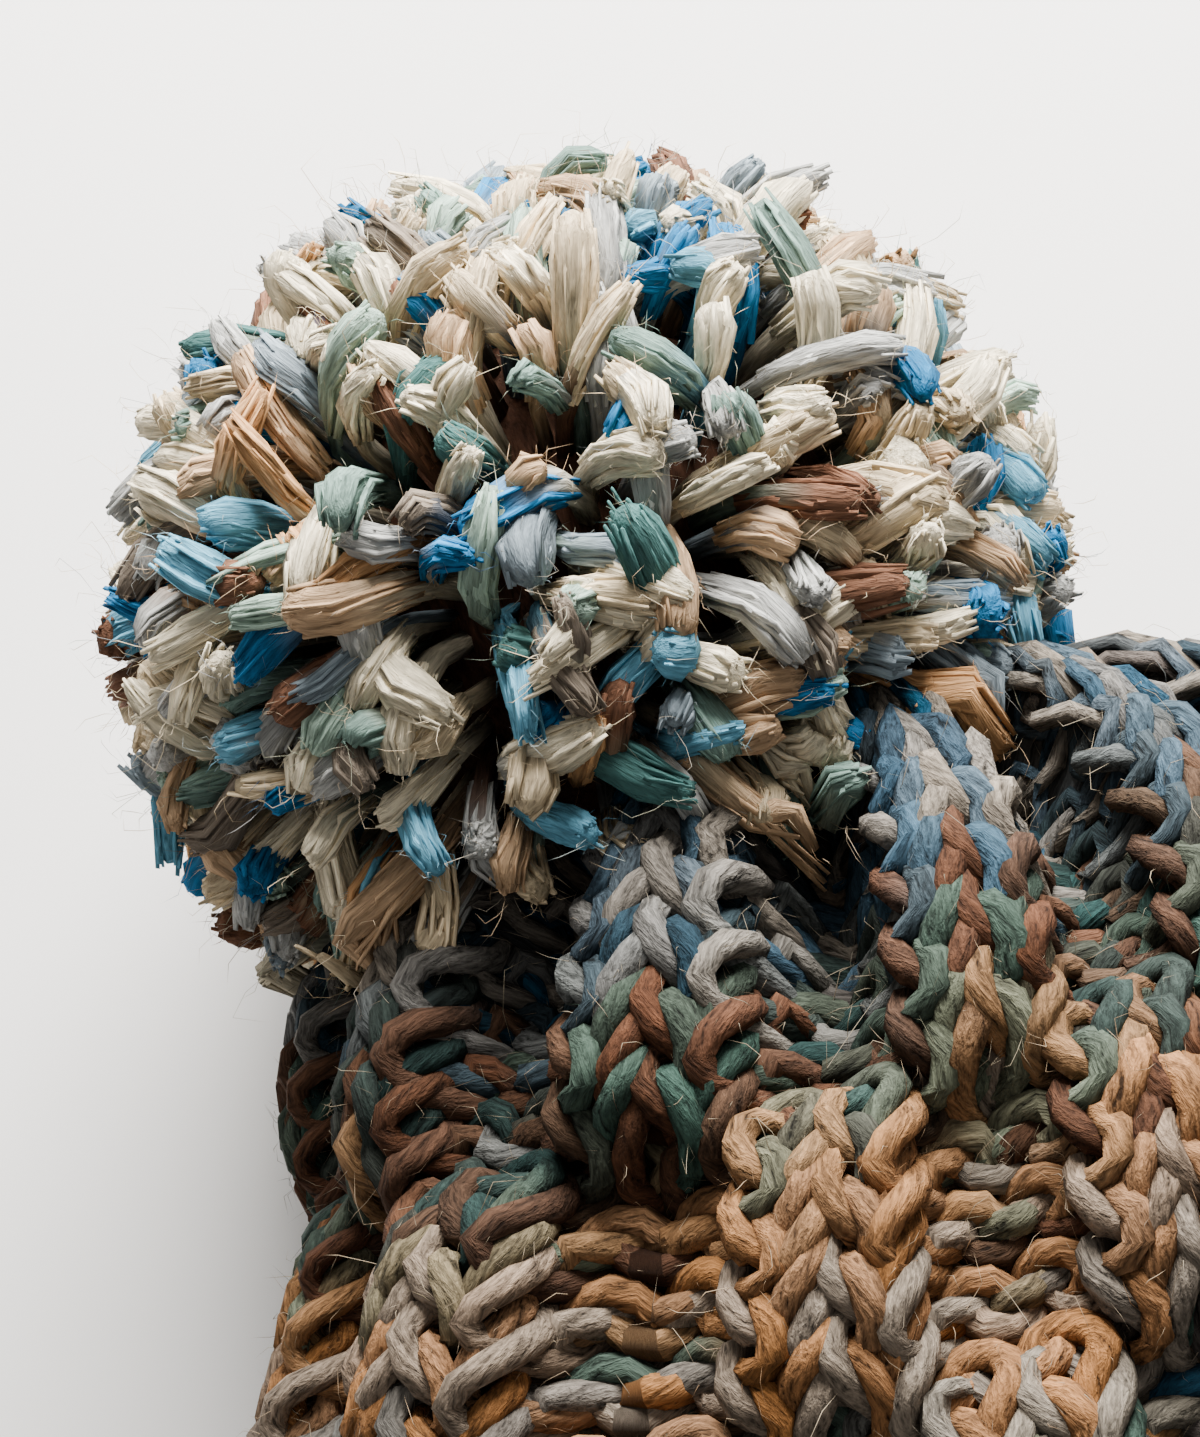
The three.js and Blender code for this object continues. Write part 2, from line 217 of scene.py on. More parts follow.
# Camera, found by matching the crown's blocks and the pompom's outline with the photograph.
CAMERA_AZIMUTH = 14.3
CAMERA_ELEVATION = 71.8
CAMERA_ROLL = -30.7
CAMERA_DISTANCE = 520.0
CAMERA_TARGET = np.array([-14.9, 6.7, 60.0])
PIXELS_PER_MM = 9.75
IMAGE_HEIGHT = 1437
SENSOR_HEIGHT = 24.0

# Light: a window beyond the pompom, low over the table, and a pale room. Metres, degrees and watts.
KEY_BEARING = 88  # from the picture's right towards its top
KEY_RISE = 27
KEY_DISTANCE = 0.65
KEY_SIZE = 0.44
KEY_WATTS = 39
KEY_COLOUR = (1, 0.98, 0.95)
KEY_AIM = (0, 0.06, 0.04)
WORLD_STRENGTH = 0.46
WORLD_COLOUR = (1, 0.99, 0.97, 1)

# Colours of the wool and the table, as sRGB.
PALETTE = {
    "table": "#eae8e6",
    "cream": "#d8c7ab",
    "ecru": "#c4ad8d",
    "beige": "#b08e6e",
    "tan": "#b5865c",
    "orange": "#b78350",
    "brown": "#6d4a38",
    "grey": "#a19d98",
    "steel": "#7d868c",
    "taupe": "#77695c",
    "blue": "#206590",
    "navy": "#20445c",
    "sky": "#5f93a8",
    "teal": "#456864",
    "deep_teal": "#284b4f",
    "sage": "#8fa191",
    "green": "#71867b",
}

# How the body's and the pompom's yarn take the palette, as factors in linear light.
KNIT_TONE = np.array([0.4, 0.355, 0.3])
POMPOM_TONE = np.array([1.06, 1.12, 1.14])

# Stripes of the body: first row, then the two plies' colours.
STRIPES = [
    (0, "navy", "grey"),
    (2, "blue", "taupe"),
    (3, "navy", "grey"),
    (4, "blue", "grey"),
    (5, "navy", "steel"),
    (6, "deep_teal", "brown"),
    (7, "teal", "brown"),
    (8, "deep_teal", "brown"),
    (9, "green", "tan"),
    (10, "orange", "grey"),
    (11, "tan", "grey"),
    (12, "orange", "steel"),
    (13, "teal", "grey"),
    (14, "blue", "taupe"),
    (15, "navy", "grey"),
    (16, "deep_teal", "brown"),
    (17, "teal", "brown"),
    (18, "sage", "tan"),
    (19, "orange", "grey"),
    (20, "tan", "grey"),
    (21, "orange", "cream"),
    (22, "teal", "steel"),
    (23, "navy", "grey"),
    (24, "deep_teal", "brown"),
    (25, "teal", "brown"),
]

# Colours of the pompom's locks and how common they are.
LOCK_COLOURS = [
    ("cream", 25),
    ("ecru", 15),
    ("beige", 9),
    ("tan", 5),
    ("grey", 16),
    ("steel", 6),
    ("blue", 8),
    ("sky", 6),
    ("green", 6),
    ("teal", 2),
    ("sage", 9),
    ("brown", 4),
    ("taupe", 4),
]


# Number helpers.
def smoothstep(low, high, x):
    """0 below low, 1 above high and a smooth rise between."""
    s = np.clip((x - low) / (high - low), 0, 1)
    return s * s * (3 - 2 * s)


def steepened(c):
    """A cosine with flatter tops and steeper sides."""
    return np.tanh(RELIEF_SHARPNESS * c) / np.tanh(RELIEF_SHARPNESS)


def power(value, exponent):
    """A power that keeps the sign."""
    return np.sign(value) * np.abs(value) ** exponent


def unit(v):
    """Vectors of length one."""
    return v / np.maximum(np.linalg.norm(v, axis=-1, keepdims=True), 1e-9)


def linear(name):
    """A palette colour as linear red, green and blue."""
    code = PALETTE[name].lstrip("#")
    srgb = np.array([int(code[i:i + 2], 16) / 255 for i in (0, 2, 4)])
    return np.where(srgb <= 0.04045, srgb / 12.92, ((srgb + 0.055) / 1.055) ** 2.4)


# The fabric's middle surface.
def section_value(column, row):
    """One column of the sections at any row, as a smooth curve through the table."""
    rows = SECTIONS[:, ROW]
    values = SECTIONS[:, column]
    last = len(rows) - 1
    slopes = [
        (values[min(last, k + 1)] - values[max(0, k - 1)]) / (rows[min(last, k + 1)] - rows[max(0, k - 1)])
        for k in range(last + 1)
    ]
    if row >= rows[last]:
        return values[last] + (row - rows[last]) * slopes[last]
    i = int(np.searchsorted(rows, row, side="right")) - 1
    span = rows[i + 1] - rows[i]
    s = (row - rows[i]) / span
    straight = values[i] + (values[i + 1] - values[i]) * s * s * (3 - 2 * s)
    return straight + s * (1 - s) * span * ((1 - s) * slopes[i] - s * slopes[i + 1])


def place_round(stitch, row):
    """Where a wale lies round the hat, in stitches from the top."""
    n = np.mod(stitch - SPREAD[0, 0], STITCHES) + SPREAD[0, 0]
    shift = np.interp(n, SPREAD[:, 0], SPREAD[:, 1])
    return KNIT_CENTRE + stitch + shift + TWIST * smoothstep(*TWIST_ROWS, row)


def middle_ring(row, stitches):
    """Points of the middle surface on one row."""
    half, under, top, along, lag = (section_value(c, row) for c in (HALF, UNDER, TOP, ALONG, LAG))
    widest = under + (top - under) * WIDEST
    settled = smoothstep(*SQUARE_ROWS, row)
    angle = np.linspace(0, 2 * np.pi, SECTION_POINTS + 1)
    across = np.sin(angle)
    up = np.cos(angle)
    square = SQUARE_ROUND + settled * (np.where(up < 0, SQUARE_UNDER, SQUARE_TOP) - SQUARE_ROUND)
    x = half * power(across, 2 / square)
    z = widest + np.where(up < 0, widest - under, top - widest) * power(up, 2 / square)
    length = np.concatenate([[0], np.cumsum(np.hypot(np.diff(x), np.diff(z)))])
    wanted = np.mod(place_round(stitches, row) / STITCHES, 1) * length[-1]
    px = np.interp(wanted, length, x)
    pz = np.interp(wanted, length, z)
    return np.stack([px, lag * (px / half) ** 2 - along, pz], -1)


def relief(stitch, row):
    """Height of the blocks, ribs and folds above the middle surface."""
    round_way = steepened(np.cos(np.pi * stitch / BLOCK_STITCHES))
    held = np.clip(row, UPPER_BLOCK_ROW, RIB_FROM_ROW + BLOCK_STITCHES)
    down_way = steepened(np.cos(np.pi * (held - UPPER_BLOCK_ROW) / BLOCK_ROWS))
    gathered = GATHER_RELIEF * (1 - smoothstep(UPPER_BLOCK_ROW - 2, UPPER_BLOCK_ROW + 2, row))
    height = (BLOCK_RELIEF + gathered) * round_way * down_way
    for at, at_row, wide, long, deep in FOLDS:
        across = (np.mod((stitch - at) / STITCHES + 0.5, 1) - 0.5) * STITCHES
        far = np.hypot(across / wide, (row - at_row) / long)
        height = height - deep * (1 - smoothstep(0, 1, far))
    return height * smoothstep(0, 2.5, row)


class Fabric:
    """The middle surface as a fine grid of points, normals and stitch widths."""

    ROW_STEP = 0.1
    COLUMN_STEP = 0.125

    def __init__(self):
        rows = np.arange(0, EDGE_ROW + 1.5, self.ROW_STEP)
        columns = np.arange(0, STITCHES, self.COLUMN_STEP)
        self.points = np.stack([middle_ring(row, columns) for row in rows])
        round_way = np.roll(self.points, -1, 1) - np.roll(self.points, 1, 1)
        down_way = np.gradient(self.points, axis=0)
        self.normals = unit(np.cross(down_way, round_way))
        self.widths = np.linalg.norm(round_way, axis=-1, keepdims=True) / (2 * self.COLUMN_STEP)
        self.rows = rows
        self.columns = columns

    def read(self, stitch, row):
        """Points, unit normals and stitch widths at these stitches and rows."""
        r = np.clip(row / self.ROW_STEP, 0, len(self.rows) - 1.001)
        c = np.mod(stitch, STITCHES) / self.COLUMN_STEP
        r0 = r.astype(int)
        c0 = c.astype(int) % len(self.columns)
        c1 = (c0 + 1) % len(self.columns)
        fr = (r - r0)[..., None]
        fc = (c - np.floor(c))[..., None]

        def between(grid):
            near = grid[r0, c0] * (1 - fc) + grid[r0, c1] * fc
            far = grid[r0 + 1, c0] * (1 - fc) + grid[r0 + 1, c1] * fc
            return near * (1 - fr) + far * fr

        return between(self.points), unit(between(self.normals)), between(self.widths)

    def raised(self, stitch, row, height):
        """Points this far outside the relief of the fabric, with normals and stitch widths."""
        at, normal, width = self.read(stitch, row)
        free = smoothstep(*PRESSED, at[..., 2])
        out = relief(stitch, row) * free + height
        return at + normal * out[..., None], normal, width


FABRIC = Fabric()


# Meshes from arrays.
def tie_shift():
    """From the hat's own frame, with its gathered tip at the origin, to the row's frame, in millimetres."""
    low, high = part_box("pompom_tie")
    return np.array([
        (low[0] + high[0]) / 2 / MM,
        high[1] / MM - TIE_REACH,
        (low[2] + high[2]) / 2 / MM - GATHER_HEIGHT,
    ])


SHIFT = tie_shift()


class Bundle:
    """Vertices, faces, colours and along-the-yarn coordinates that become one mesh."""

    def __init__(self):
        self.points = []
        self.faces = []
        self.colours = []
        self.strands = []
        self.count = 0

    def add(self, points, faces, colours, strands):
        """Takes on one more shape, whose colours may be given once for several points."""
        self.points.append(points.reshape(-1, 3))
        self.faces.extend(f + self.count for f in faces)
        self.colours.append(np.broadcast_to(colours, points.shape).reshape(-1, 3))
        self.strands.append(strands.reshape(-1, 3))
        self.count += self.points[-1].shape[0]

    def finish(self, name, material, node_name):
        """Makes the piece, which stands for this node of the solids."""
        points = (np.concatenate(self.points) + SHIFT) * MM
        points[:, 2] = np.maximum(points[:, 2], TABLE_CLEARANCE * MM)
        faces = []
        for corners in (4, 3):
            group = [f.reshape(-1, corners) for f in self.faces if f.shape[-1] == corners]
            if group:
                faces.extend(np.concatenate(group).tolist())
        mesh = bpy.data.meshes.new(name)
        mesh.from_pydata(points.tolist(), [], faces)
        colours = np.concatenate(self.colours)
        colours = np.concatenate([colours, np.ones((len(colours), 1))], 1)
        tint = mesh.attributes.new("tint", "FLOAT_COLOR", "POINT")
        tint.data.foreach_set("color", colours.astype(np.float32).ravel())
        strand = mesh.attributes.new("strand", "FLOAT_VECTOR", "POINT")
        strand.data.foreach_set("vector", np.concatenate(self.strands).astype(np.float32).ravel())
        mesh.shade_smooth()
        mesh.materials.append(material)
        piece = bpy.data.objects.new(name, mesh)
        bpy.context.collection.objects.link(piece)
        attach(piece, "root")
        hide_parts(node_name)


def ring_faces(tubes, points, sides, closed):
    """Quads of tubes whose vertices are numbered by tube, then point, then side."""
    tube, at, side = np.meshgrid(
        np.arange(tubes), np.arange(points if closed else points - 1), np.arange(sides), indexing="ij"
    )
    after = (at + 1) % points
    beside = (side + 1) % sides

    def number(a, s):
        return (tube * points + a) * sides + s

    return np.stack([number(at, side), number(at, beside), number(after, beside), number(after, side)], -1)


def carried_frames(paths):
    """Unit tangents and two unit sides, carried along open paths without turning."""
    tangents = unit(np.gradient(paths, axis=1))
    helper = np.where(np.abs(tangents[:, 0, 2:3]) > 0.9, [[1.0, 0, 0]], [[0, 0, 1.0]])
    side = unit(np.cross(tangents[:, 0], helper))
    sides = [side]
    for k in range(1, paths.shape[1]):
        along = np.sum(side * tangents[:, k], -1, keepdims=True)
        side = unit(side - tangents[:, k] * along)
        sides.append(side)
    first = np.stack(sides, 1)
    return tangents, first, np.cross(tangents, first)


def add_tubes(bundle, paths, radii, colours):
    """Closed tubes along open paths, with radii and colours by tube, point and side."""
    tubes, points, sides = radii.shape
    _, first, second = carried_frames(paths)
    angle = np.arange(sides) * 2 * np.pi / sides
    ways = first[:, :, None] * np.cos(angle)[:, None] + second[:, :, None] * np.sin(angle)[:, None]
    skin = paths[:, :, None] + ways * radii[..., None]
    steps = np.linalg.norm(np.diff(paths, axis=1), axis=-1)
    run = np.concatenate([np.zeros((tubes, 1)), np.cumsum(steps, 1)], 1)
    strand = np.empty(skin.shape)
    start = np.arange(tubes) * TUBE_PATTERN_STEP % TUBE_PATTERN_SPAN
    strand[..., 0] = (run + start[:, None])[:, :, None]
    strand[..., 1] = np.cos(angle) * radii
    strand[..., 2] = np.sin(angle) * radii
    low = np.arange(tubes)[:, None, None] * points * sides
    high = low + (points - 1) * sides
    fan = np.stack([np.zeros(sides - 2, int), np.arange(1, sides - 1), np.arange(2, sides)], -1)
    faces = [ring_faces(tubes, points, sides, False), low + fan[:, ::-1], high + fan]
    bundle.add(skin, faces, colours, strand)


def add_curls(bundle, paths, radius, colours):
    """Hairs along paths: pointed at both ends and three-sided between."""
    count, points, _ = paths.shape
    _, first, second = carried_frames(paths)
    angle = np.arange(3) * 2 * np.pi / 3
    ways = first[:, 1:-1, None] * np.cos(angle)[:, None] + second[:, 1:-1, None] * np.sin(angle)[:, None]
    rings = (paths[:, 1:-1, None] + ways * radius[:, None, None, None]).reshape(count, -1, 3)
    skin = np.concatenate([paths[:, :1], rings, paths[:, -1:]], 1)
    size = skin.shape[1]
    k = np.arange(3)
    beside = (k + 1) % 3
    corners = [np.stack([1 + beside, 1 + k, np.zeros(3, int)], -1)]
    for ring in range(1, size - 4, 3):
        corners.append(np.stack([ring + k, ring + beside, ring + 3 + beside], -1))
        corners.append(np.stack([ring + k, ring + 3 + beside, ring + 3 + k], -1))
    corners.append(np.stack([size - 4 + k, size - 4 + beside, np.full(3, size - 1)], -1))
    faces = np.arange(count)[:, None, None] * size + np.concatenate(corners)
    bundle.add(skin, [faces], colours[:, None], np.zeros(skin.shape))


def hair_colours_with_painted_highlight(rng, colours):
    """Colours of single hairs: the yarn they lift from, mixed towards cream as a painted highlight."""
    mix = rng.uniform(0, HAIR_PAINTED_HIGHLIGHT, (len(colours), 1))
    return (colours * (1 - mix) + linear("cream") * mix) * rng.uniform(0.8, 1.3, (len(colours), 1))


# The knitted yarn.
def stitch_sign(stitch, row):
    """1 for a knit stitch, whose legs stand in front, and -1 for a purl."""
    column = np.floor((stitch + 0.5 + BLOCK_STITCHES / 2) / BLOCK_STITCHES)
    row = np.clip(row, 0, EDGE_ROW - 1)
    blocks = np.clip(row // BLOCK_ROWS, 1, RIB_FROM_ROW // BLOCK_ROWS) - 1
    return np.where((column + blocks) % 2 == 0, 1.0, -1.0)


def stripe_colour(row, ply):
    """Colour of a ply at each place along the rounds."""
    starts = np.array([s[0] for s in STRIPES])
    table = np.array([linear(s[1 + ply]) for s in STRIPES])
    at = np.interp(row, starts, np.arange(len(starts)))
    low = np.minimum(at.astype(int), len(starts) - 2)
    mix = smoothstep(0.3, 0.7, at - low)[:, None]
    return table[low] * (1 - mix) + table[low + 1] * mix


def wandering(rng, count, spacing):
    """Smooth random numbers about -1 to 1 along a closed round."""
    knots = rng.uniform(-1, 1, max(3, count // spacing))
    at = np.arange(count) / count * len(knots)
    low = at.astype(int)
    s = at - low
    s = s * s * (3 - 2 * s)
    return knots[low % len(knots)] * (1 - s) + knots[(low + 1) % len(knots)] * s


def samples_round(row, samples):
    """Stitch, and how far along it, of each sample of a round; stitches underneath have half as many."""
    place = np.mod(place_round(np.arange(STITCHES) + 0.5, row) / STITCHES, 1)
    counts = np.where(np.abs(place - 0.5) < UNDERNEATH, samples // 2, samples)
    stitch = np.repeat(np.arange(STITCHES), counts)
    return stitch, np.concatenate([np.arange(c) * 2 * np.pi / c for c in counts])


def round_path(stitch, t, row):
    """Centre line of the yarn of one round, with its frame and squeeze."""
    own = stitch_sign(stitch, row)
    above = stitch_sign(stitch, row - 1)
    before = (own + stitch_sign(stitch - 1, row)) / 2
    after = (own + stitch_sign(stitch + 1, row)) / 2
    turn = np.where(t < np.pi / 2, before, np.where(t > 1.5 * np.pi, after, above))
    head = np.where(turn > 0, HEAD_DEPTH, BUMP_DEPTH) * turn
    depth = LEG_DEPTH * own * np.sin(t) ** 2 - head * np.cos(t) ** 2
    across = stitch + t / (2 * np.pi) + LOOP_BULGE * np.sin(2 * t)
    height = LOOP_HEIGHT * (1 - PURL_FLATNESS * (1 - turn) / 2)
    along = row + 0.5 + height * np.cos(t)
    _, _, width = FABRIC.read(across, along)
    squeeze = np.clip(width[:, 0] / FULL_STITCH, LEAST_SQUEEZE, 1)
    path, normal, _ = FABRIC.raised(across, along, depth * np.sqrt(squeeze))
    tangent = unit(np.roll(path, -1, 0) - np.roll(path, 1, 0))
    side = unit(np.cross(normal, tangent))
    return path, tangent, side, np.cross(tangent, side), squeeze


class Fuzz:
    """Places on the yarn where fine fibres may start: point, way out, way along and colour."""

    def __init__(self):
        self.points = []
        self.outs = []
        self.alongs = []
        self.colours = []

    def add(self, skin, outs, alongs, colours):
        """Takes on more places; what several of them share may be given once."""
        self.points.append(skin.reshape(-1, 3))
        for held, given in ((self.outs, outs), (self.alongs, alongs), (self.colours, colours)):
            held.append(np.broadcast_to(given, skin.shape).reshape(-1, 3))

    def pick(self, rng, count):
        """Random places, fewer of them low down and underneath."""
        fields = [np.concatenate(f) for f in (self.points, self.outs, self.alongs, self.colours)]
        weight = 0.15 + smoothstep(4, 20, fields[0][:, 2]) * (0.3 + smoothstep(-0.2, 0.5, fields[1][:, 2]))
        chosen = rng.choice(len(weight), count, p=weight / weight.sum())
        return [f[chosen] for f in fields]


def add_round(bundle, fuzz, rng, row, samples, sides):
    """One knitted round: two plies twisted together along the loops."""
    stitch, t = samples_round(row, samples)
    path, tangent, side, up, squeeze = round_path(stitch, t, row)
    count = len(path)
    twist = PLY_TURNS * t + TWIST_WANDER * wandering(rng, count, 2 * samples)
    run = np.cumsum(np.linalg.norm(np.roll(path, -1, 0) - path, axis=-1)) + ROUND_PATTERN_STEP * row
    around = np.arange(sides) * 2 * np.pi / sides
    for ply in (0, 1):
        turn = twist + ply * np.pi
        swell = 1 + PLY_SWELL * wandering(rng, count, samples // 2)
        offset = side * np.cos(turn)[:, None] + up * np.sin(turn)[:, None]
        centre = path + offset * (PLY_OFFSET * squeeze)[:, None]
        ways = side[:, None] * np.cos(around)[:, None] + up[:, None] * np.sin(around)[:, None]
        skin = centre[:, None] + ways * (PLY_RADIUS * squeeze * swell)[:, None, None]
        strand = np.empty(skin.shape)
        strand[..., 0] = (run + PLY_PATTERN_STEP * ply)[:, None]
        spun = around + PLY_SPIN * run[:, None]
        strand[..., 1] = np.cos(spun) * PLY_RADIUS
        strand[..., 2] = np.sin(spun) * PLY_RADIUS
        drift = row + 0.5 + STRIPE_WANDER * wandering(rng, count, 2 * samples)
        mix = (PLY_BLEND + PLY_BLEND * wandering(rng, count, samples))[:, None]
        colour = stripe_colour(drift, ply) * (1 - mix) + stripe_colour(drift, 1 - ply) * mix
        colour = KNIT_TONE * colour * (1 + SHADE_WANDER * wandering(rng, count, samples // 2))[:, None]
        bundle.add(skin, [ring_faces(1, count, sides, True)], colour[:, None], strand)
        fuzz.add(skin, ways, tangent[:, None], colour[:, None])


def make_body(material):
    """The rounds of yarn in a few pieces, and the places for their fuzz."""
    rng = np.random.default_rng(KNIT_SEED)
    fuzz = Fuzz()
    for name, first, last, samples, sides in BODY_PIECES:
        bundle = Bundle()
        for row in range(first, last):
            add_round(bundle, fuzz, rng, row, samples, sides)
        bundle.finish(name, material, "knit_body")
    return fuzz


def make_backing(material):
    """The hidden parts of the loops, which close the fabric behind the yarn that shows, coloured darker as
    painted shade.
    """
    rows = np.arange(1, EDGE_ROW)
    columns = np.arange(0, STITCHES, 0.5)
    out_and_back = np.concatenate([rows, rows[::-1]])
    depth = np.repeat(BACKING, len(rows))
    column = np.broadcast_to(columns, (len(depth), len(columns)))
    row = np.broadcast_to(out_and_back[:, None], column.shape)
    skin, _, _ = FABRIC.raised(column, row, np.broadcast_to(depth[:, None], column.shape))
    # Painted shade: the mean of the two plies' colours at half strength, for the hollows behind the yarn.
    shade = KNIT_TONE * (stripe_colour(out_and_back, 0) + stripe_colour(out_and_back, 1)) / 4
    strand = np.stack([column * 8, row * 8, 0 * row], -1)
    bundle = Bundle()
    bundle.add(skin, [ring_faces(1, len(depth), len(columns), True)[..., ::-1]], shade[:, None], strand)
    bundle.finish("knit_backing", material, "knit_body")


# The pompom.
def camera_axes():
    """Right, up and backward unit vectors of the camera, in the row's frame."""
    azimuth, elevation, roll = (math.radians(a) for a in (CAMERA_AZIMUTH, CAMERA_ELEVATION, CAMERA_ROLL))
    back = np.array([
        math.cos(elevation) * math.sin(azimuth),
        -math.cos(elevation) * math.cos(azimuth),
        math.sin(elevation),
    ])
    level = np.array([math.cos(azimuth), math.sin(azimuth), 0])
    rise = np.cross(back, level)
    right = math.cos(roll) * level + math.sin(roll) * rise
    up = -math.sin(roll) * level + math.cos(roll) * rise
    return right, up, back


def parting():
    """Where the locks fall apart, as seen from the pompom's centre."""
    right, up, back = camera_axes()
    return unit(PARTING[0] * right + PARTING[1] * up + PARTING[2] * back)


def clear_of_crown(points, gap):
    """Moves points that lie inside the crown out through its surface."""
    crown_rows = np.arange(0, 10, 0.5)
    columns = np.arange(0, STITCHES, 0.5)
    grid_row, grid_column = np.meshgrid(crown_rows, columns, indexing="ij")
    skin, normal, _ = FABRIC.raised(grid_column.ravel(), grid_row.ravel(), np.full(grid_row.size, WALL / 2))
    flat = points.reshape(-1, 3)
    for start in range(0, len(flat), 2000):
        part = flat[start:start + 2000]
        far = ((part[:, None] - skin[None]) ** 2).sum(-1)
        nearest = far.argmin(1)
        height = ((part - skin[nearest]) * normal[nearest]).sum(-1)
        close = far.min(1) < 30 ** 2
        lift = np.where(close & (height < gap), gap - height, 0)
        flat[start:start + 2000] = part + normal[nearest] * lift[:, None]
    return flat.reshape(points.shape)


def lock_paths(rng):
    """Centre lines of the locks: out of the core, then over, away from the parting."""
    number = np.arange(LOCKS)
    golden = np.pi * (3 - np.sqrt(5))
    height = 1 - (2 * number + 1) / LOCKS
    ring = np.sqrt(1 - height ** 2)
    way = np.stack([ring * np.cos(golden * number), height, ring * np.sin(golden * number)], -1)
    way = unit(way + rng.normal(0, 0.06, way.shape))
    way = way[way[:, 1] > CROWN_SIDE]
    count = len(way)
    pole = parting()
    away = unit(way - pole * (way @ pole)[:, None] + rng.normal(0, 0.75, (count, 3)))
    away = unit(away - way * (away * way).sum(-1, keepdims=True))
    flop = rng.uniform(*LOCK_FLOP, (count, 1))
    reach = rng.uniform(*LOCK_REACH, (count, 1))
    root = POMPOM_CENTRE + POMPOM_HALF * way * LOCK_ROOT
    bend = POMPOM_CENTRE + POMPOM_HALF * way * LOCK_BEND
    tip = POMPOM_CENTRE + POMPOM_HALF * unit(way + away * flop) * reach
    s = np.array(LOCK_STATIONS)[:, None]
    paths = root[:, None] * (1 - s) ** 2 + 2 * bend[:, None] * s * (1 - s) + tip[:, None] * s ** 2
    wave = rng.normal(0, LOCK_WAVE, (count, 1, 3))
    wave = wave * np.sin(s * np.pi * 2.2 + rng.uniform(0, 6, (count, 1, 1)))
    paths = clear_of_crown(paths + wave * s, SEAT_GAP)
    paths[..., 2] = np.maximum(paths[..., 2], TABLE_GAP)
    return paths


def lock_radii(rng, count):
    """Plump locks with lumpy sections and blunt ends, by lock, point and side."""
    s = np.array(LOCK_STATIONS)
    blunt = rng.uniform(*LOCK_BLUNT, (count, 1))
    dome = np.sqrt(1 - 0.9 * np.clip((s - blunt) / (1 - blunt), 0, 1) ** 2)
    along = (0.6 + 0.5 * smoothstep(0.3, 0.9, s)) * dome
    angle = np.arange(LOCK_SIDES) * 2 * np.pi / LOCK_SIDES
    turn = rng.uniform(0, 2 * np.pi, (count, 1, 1))
    lumps = 1 + 0.18 * np.cos(2 * angle + turn) + 0.09 * np.cos(3 * angle - 1.7 * turn)
    size = LOCK_RADIUS * rng.uniform(*LOCK_SIZES, (count, 1, 1))
    return size * along[..., None] * lumps


def lock_colours(rng, count):
    """Colours at the root and the end of each lock."""
    names = [c[0] for c in LOCK_COLOURS]
    weights = np.array([c[1] for c in LOCK_COLOURS], float)
    table = np.array([linear(n) for n in names])
    first = rng.choice(len(names), count, p=weights / weights.sum())
    second = rng.choice(len(names), count, p=weights / weights.sum())
    second = np.where(rng.random(count) < 0.55, first, second)
    return table[first], table[second]


def lock_colours_with_painted_shade(rng, root_colour, end_colour):
    """Colours along each lock, with painted shade that darkens them towards the core."""
    stations = np.array(LOCK_STATIONS)
    s = smoothstep(0.35, 0.85, stations)[:, None]
    colours = root_colour[:, None] * (1 - s) + end_colour[:, None] * s
    colours = POMPOM_TONE * colours * rng.uniform(0.85, 1.1, (len(root_colour), 1, 1))
    # Painted shade: the colour falls to 0.45 of itself near the root, where the locks shade each other.
    return colours * (0.45 + 0.55 * smoothstep(0.3, 0.8, stations))[:, None]


def read_along(grid, lock, s):
    """Values of a grid by lock and point, at these locks and shares of their length."""
    stations = np.array(LOCK_STATIONS)
    low = np.clip(np.searchsorted(stations, s, side="right") - 1, 0, LOCK_POINTS - 2)
    rest = ((s - stations[low]) / (stations[low + 1] - stations[low]))[:, None]
    return grid[lock, low] * (1 - rest) + grid[lock, low + 1] * rest


def add_lock_strands(bundle, rng, paths, radii, colours, other):
    """Strands laid round each lock and cut unevenly; some take on the other colour."""
    lock = np.repeat(np.arange(len(paths)), LOCK_STRANDS)
    count = len(lock)
    _, first, second = carried_frames(paths)
    thick = radii.mean(-1)[..., None]
    place = np.tile(np.arange(LOCK_STRANDS), len(paths)) / LOCK_STRANDS
    angle = 2 * np.pi * place + rng.normal(0, 0.2, count)
    turn = rng.normal(0, 0.5, len(paths))[lock]
    depth = rng.uniform(*STRAND_DEPTH, (count, 1))
    end = STRAND_END + rng.normal(0, STRAND_CUT, count)
    open_end = rng.uniform(*STRAND_OPEN, count)
    points = []
    for share in STRAND_STATIONS:
        s = STRAND_FROM + (end - STRAND_FROM) * share
        round_way = (angle + turn * share)[:, None]
        out = read_along(first, lock, np.minimum(s, 1)) * np.cos(round_way)
        out = unit(out + read_along(second, lock, np.minimum(s, 1)) * np.sin(round_way))
        spread = read_along(thick, lock, np.minimum(s, open_end)) * depth
        wander = rng.normal(0, STRAND_WANDER, (count, 3))
        points.append(read_along(paths, lock, s) + out * spread + wander)
    strands = np.stack(points, 1)
    taper = np.array(STRAND_TAPER)[:, None]
    size = STRAND_RADIUS * rng.uniform(*STRAND_SIZES, (count, 1, 1)) * taper * np.ones(3)
    mix = (rng.random((count, 1)) < OTHER_STRANDS) * rng.uniform(0.3, 0.9, (count, 1))
    tint = colours[lock][:, -4:] * (1 - mix)[:, None] + (other[lock] * mix)[:, None]
    tint = tint * rng.uniform(*STRAND_SHADES, (count, 1, 1))
    add_tubes(bundle, strands, size, tint[:, :, None])


